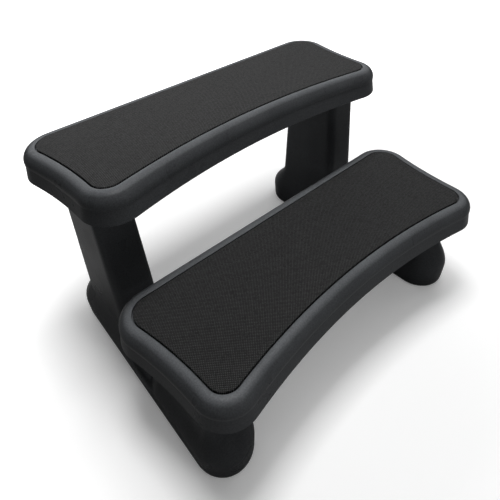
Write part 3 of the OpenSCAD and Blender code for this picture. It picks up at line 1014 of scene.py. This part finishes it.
class SPASTEPS_OT_treads(bpy.types.Operator):
    """Builds both treads with their rolled rims, skirts, ribs and sockets"""

    bl_idname = "spasteps.treads"
    bl_label = "Treads"

    def execute(self, context):
        make_tread("lower_tread_moulding", "lower_tread", LOW_Y, LOW_Z)
        make_tread("upper_tread_moulding", "upper_tread", HIGH_Y, HIGH_Z)
        return {"FINISHED"}


class SPASTEPS_OT_mats(bpy.types.Operator):
    """Builds the two woven mats in the recesses of the treads"""

    bl_idname = "spasteps.mats"
    bl_label = "Mats"

    def execute(self, context):
        make_mat("lower_woven_mat", "lower_mat", LOW_Y, LOW_Z)
        make_mat("upper_woven_mat", "upper_mat", HIGH_Y, HIGH_Z)
        return {"FINISHED"}


class SPASTEPS_OT_supports(bpy.types.Operator):
    """Builds the two hollow side supports with their flared posts and rails"""

    bl_idname = "spasteps.supports"
    bl_label = "Side supports"

    def execute(self, context):
        make_support("left_support_moulding", "left_support", -1)
        make_support("right_support_moulding", "right_support", 1)
        return {"FINISHED"}


class SPASTEPS_OT_fittings(bpy.types.Operator):
    """Finishes the foot pads, screws, washers and threaded inserts"""

    bl_idname = "spasteps.fittings"
    bl_label = "Fittings"

    def execute(self, context):
        for name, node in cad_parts.items():
            if name.endswith("foot_pad"):
                material = pad_material()
            elif name.endswith(("screws", "washers")):
                material = metal_material("zinc_steel", *STEEL)
            elif name.endswith("inserts"):
                material = metal_material("turned_brass", *BRASS)
            else:
                continue
            node.data.materials.clear()
            node.data.materials.append(material)
        return {"FINISHED"}


# Name, place in metres, size and power of the softboxes, which the surfaces mirror
SOFTBOXES = (
    ("softbox_top", (0, 0.1, 2.3), (0.6, 0.6), 25.2),
    ("softbox_top_right", (0.75, 0, 2.2), (0.8, 0.8), 8.7),
    ("softbox_top_front", (0, -0.75, 2.2), (0.8, 0.8), 4.5),
    ("softbox_back", (0, 2.2, 1.7), (1.8, 1.2), 14.2),
    ("softbox_back_right", (1.56, 1.56, 1.7), (1.8, 1.2), 6.9),
    ("softbox_right", (2.2, 0, 1.7), (1.8, 1.2), 7.0),
    ("softbox_front", (0, -2.2, 1.7), (1.8, 1.2), 5.5),
    ("softbox_left", (-1.56, -1.56, 1.7), (1.8, 1.2), 0.7),
)
# Lamps that light the sides and are not mirrored: low ones, and two on the floor that point up
FILLS = (
    ("fill_back_right", (1.77, 1.77, 0.7), (1.8, 1.2), 6.9),
    ("fill_right", (2.5, 0, 0.7), (1.8, 1.2), 2.8),
    ("fill_left", (-1.77, -1.77, 0.7), (1.8, 1.2), 0.7),
)
CARDS = (
    ("card_back", (0.3, 1.15, 0.005), (1.8, 1.2), 22),
    ("card_front", (0.2, -1.15, 0.005), (2.0, 1.2), 9.0),
)
LIGHT_TARGET = (0, 0, 0.2)
WORLD_LIGHT = 0.03

# The floor: its half size in metres, the share of its colour that lights other things, and a
# glow that only the camera sees, which grows from near the steps to far from them
FLOOR_HALF = 6
FLOOR_RETURN = 0.36
FLOOR_ROUGHNESS = 0.9
FLOOR_SPECULAR = 0.2
GLOW_CENTRE = (0.15, -0.1, 0)
GLOW_NEAR, GLOW_FAR = 0.5, 1.2
GLOW_LOW, GLOW_HIGH = 0.15, 1.0

# The camera: side of the render, focal length and optical axis in pixels, angles in degrees,
# and its place in metres
RENDER_PX = 500
FOCAL_PX = 449.2826
AXIS_PX = (232.1703, 164.5683)
SENSOR_MM = 36.0
CAMERA_ANGLES = (-37.1199, 34.8986, -4.1544)
CAMERA_PLACE = (-0.43797, -0.47605, 0.78214)


def add_area_light(name, location, target, size, power):
    data = bpy.data.lights.new(name, "AREA")
    data.shape = "RECTANGLE"
    data.size, data.size_y = size
    data.energy = power
    lamp = bpy.data.objects.new(name, data)
    bpy.context.scene.collection.objects.link(lamp)
    lamp.location = location
    direction = Vector(target) - Vector(location)
    lamp.rotation_euler = direction.to_track_quat("-Z", "Y").to_euler()
    lamp.visible_camera = False
    return lamp


def floor_material():
    """Pale floor that the camera sees brighter than the light that it sends back."""
    material, tree, shader = new_material("pale_floor")
    seen = tree.nodes.new("ShaderNodeLightPath").outputs["Is Camera Ray"]
    pale = bpy.context.scene.spa_steps_colours.floor
    colour = two_tone(tree, seen, scaled(pale, FLOOR_RETURN), pale)
    tree.links.new(colour, shader.inputs["Base Color"])
    shader.inputs["Emission Color"].default_value = (1.0, 1.0, 1.0, 1.0)
    reach = tree.nodes.new("ShaderNodeVectorMath")
    reach.operation = "LENGTH"
    centre = tree.nodes.new("ShaderNodeVectorMath")
    centre.operation = "SUBTRACT"
    centre.inputs[1].default_value = GLOW_CENTRE
    tree.links.new(object_coordinates(tree), centre.inputs[0])
    tree.links.new(centre.outputs["Vector"], reach.inputs[0])
    glow = remap(tree, reach.outputs["Value"], GLOW_NEAR, GLOW_FAR, GLOW_LOW, GLOW_HIGH)
    lift = math_node(tree, "MULTIPLY", seen, glow)
    tree.links.new(lift, shader.inputs["Emission Strength"])
    shader.inputs["Roughness"].default_value = FLOOR_ROUGHNESS
    shader.inputs["Specular IOR Level"].default_value = FLOOR_SPECULAR
    return material


def add_floor(scene):
    bm = bmesh.new()
    bmesh.ops.create_grid(bm, x_segments=1, y_segments=1, size=FLOOR_HALF)
    mesh = bpy.data.meshes.new("floor")
    bm.to_mesh(mesh)
    bm.free()
    floor = bpy.data.objects.new("floor", mesh)
    scene.collection.objects.link(floor)
    mesh.materials.append(floor_material())


def add_world(scene):
    """White to the camera, and nearly dark to everything else."""
    world = bpy.data.worlds.new("studio")
    scene.world = world
    world.use_nodes = True
    tree = world.node_tree
    background = tree.nodes["Background"]
    background.inputs["Color"].default_value = (1, 1, 1, 1)
    path = tree.nodes.new("ShaderNodeLightPath")
    strength = remap(tree, path.outputs["Is Camera Ray"], 0.0, 1.0, WORLD_LIGHT, 1.0)
    tree.links.new(strength, background.inputs["Strength"])


def add_lights():
    for name, place, size, power in SOFTBOXES:
        add_area_light(name, place, LIGHT_TARGET, size, power)
    for name, place, size, power in FILLS:
        add_area_light(name, place, LIGHT_TARGET, size, power).visible_glossy = False
    for name, place, size, power in CARDS:
        straight_up = (place[0], place[1], 1)
        add_area_light(name, place, straight_up, size, power).visible_glossy = False


def add_camera(scene):
    camera = bpy.data.cameras.new("camera")
    camera.sensor_width = SENSOR_MM
    camera.lens = FOCAL_PX / RENDER_PX * SENSOR_MM
    camera.shift_x = (RENDER_PX / 2 - AXIS_PX[0]) / RENDER_PX
    camera.shift_y = (AXIS_PX[1] - RENDER_PX / 2) / RENDER_PX
    view = bpy.data.objects.new("camera", camera)
    scene.collection.objects.link(view)
    azimuth, elevation, roll = (math.radians(a) for a in CAMERA_ANGLES)
    back = Vector(
        (
            math.sin(azimuth) * math.cos(elevation),
            -math.cos(azimuth) * math.cos(elevation),
            math.sin(elevation),
        )
    )
    right = (-back).cross(Vector((0, 0, 1))).normalized()
    up = right.cross(-back)
    c, s = math.cos(roll), math.sin(roll)
    across = c * right + s * up
    above = -s * right + c * up
    matrix = Matrix((across, above, back)).transposed().to_4x4()
    matrix.translation = Vector(CAMERA_PLACE)
    view.matrix_world = matrix
    scene.camera = view


class SPASTEPS_OT_stage(bpy.types.Operator):
    """Sets up the floor, the world, the lights and the camera"""

    bl_idname = "spasteps.stage"
    bl_label = "Stage"

    def execute(self, context):
        scene = context.scene
        scene.view_settings.view_transform = "Standard"
        add_floor(scene)
        add_world(scene)
        add_lights()
        add_camera(scene)
        return {"FINISHED"}


class SPASTEPS_PT_panel(bpy.types.Panel):
    """Shows the sizes, the colours and the operators that build the steps"""

    bl_idname = "SPASTEPS_PT_panel"
    bl_label = "Spa Steps"
    bl_space_type = "VIEW_3D"
    bl_region_type = "UI"
    bl_category = "Spa Steps"

    def draw(self, context):
        layout = self.layout
        for group in (context.scene.spa_steps_sizes, context.scene.spa_steps_colours):
            for name in group.__annotations__:
                layout.prop(group, name)
        for operator in OPERATORS:
            layout.operator(operator.bl_idname)


OPERATORS = (
    SPASTEPS_OT_treads,
    SPASTEPS_OT_mats,
    SPASTEPS_OT_supports,
    SPASTEPS_OT_fittings,
    SPASTEPS_OT_stage,
)
CLASSES = (SpaStepsSizes, SpaStepsColours, *OPERATORS, SPASTEPS_PT_panel)


def register():
    for cls in CLASSES:
        bpy.utils.register_class(cls)
    bpy.types.Scene.spa_steps_sizes = PointerProperty(type=SpaStepsSizes)
    bpy.types.Scene.spa_steps_colours = PointerProperty(type=SpaStepsColours)


def unregister():
    del bpy.types.Scene.spa_steps_colours
    del bpy.types.Scene.spa_steps_sizes
    for cls in reversed(CLASSES):
        bpy.utils.unregister_class(cls)


def main():
    register()
    bpy.ops.spasteps.treads()
    bpy.ops.spasteps.mats()
    bpy.ops.spasteps.supports()
    bpy.ops.spasteps.fittings()
    bpy.ops.spasteps.stage()


if __name__ == "__main__":
    main()
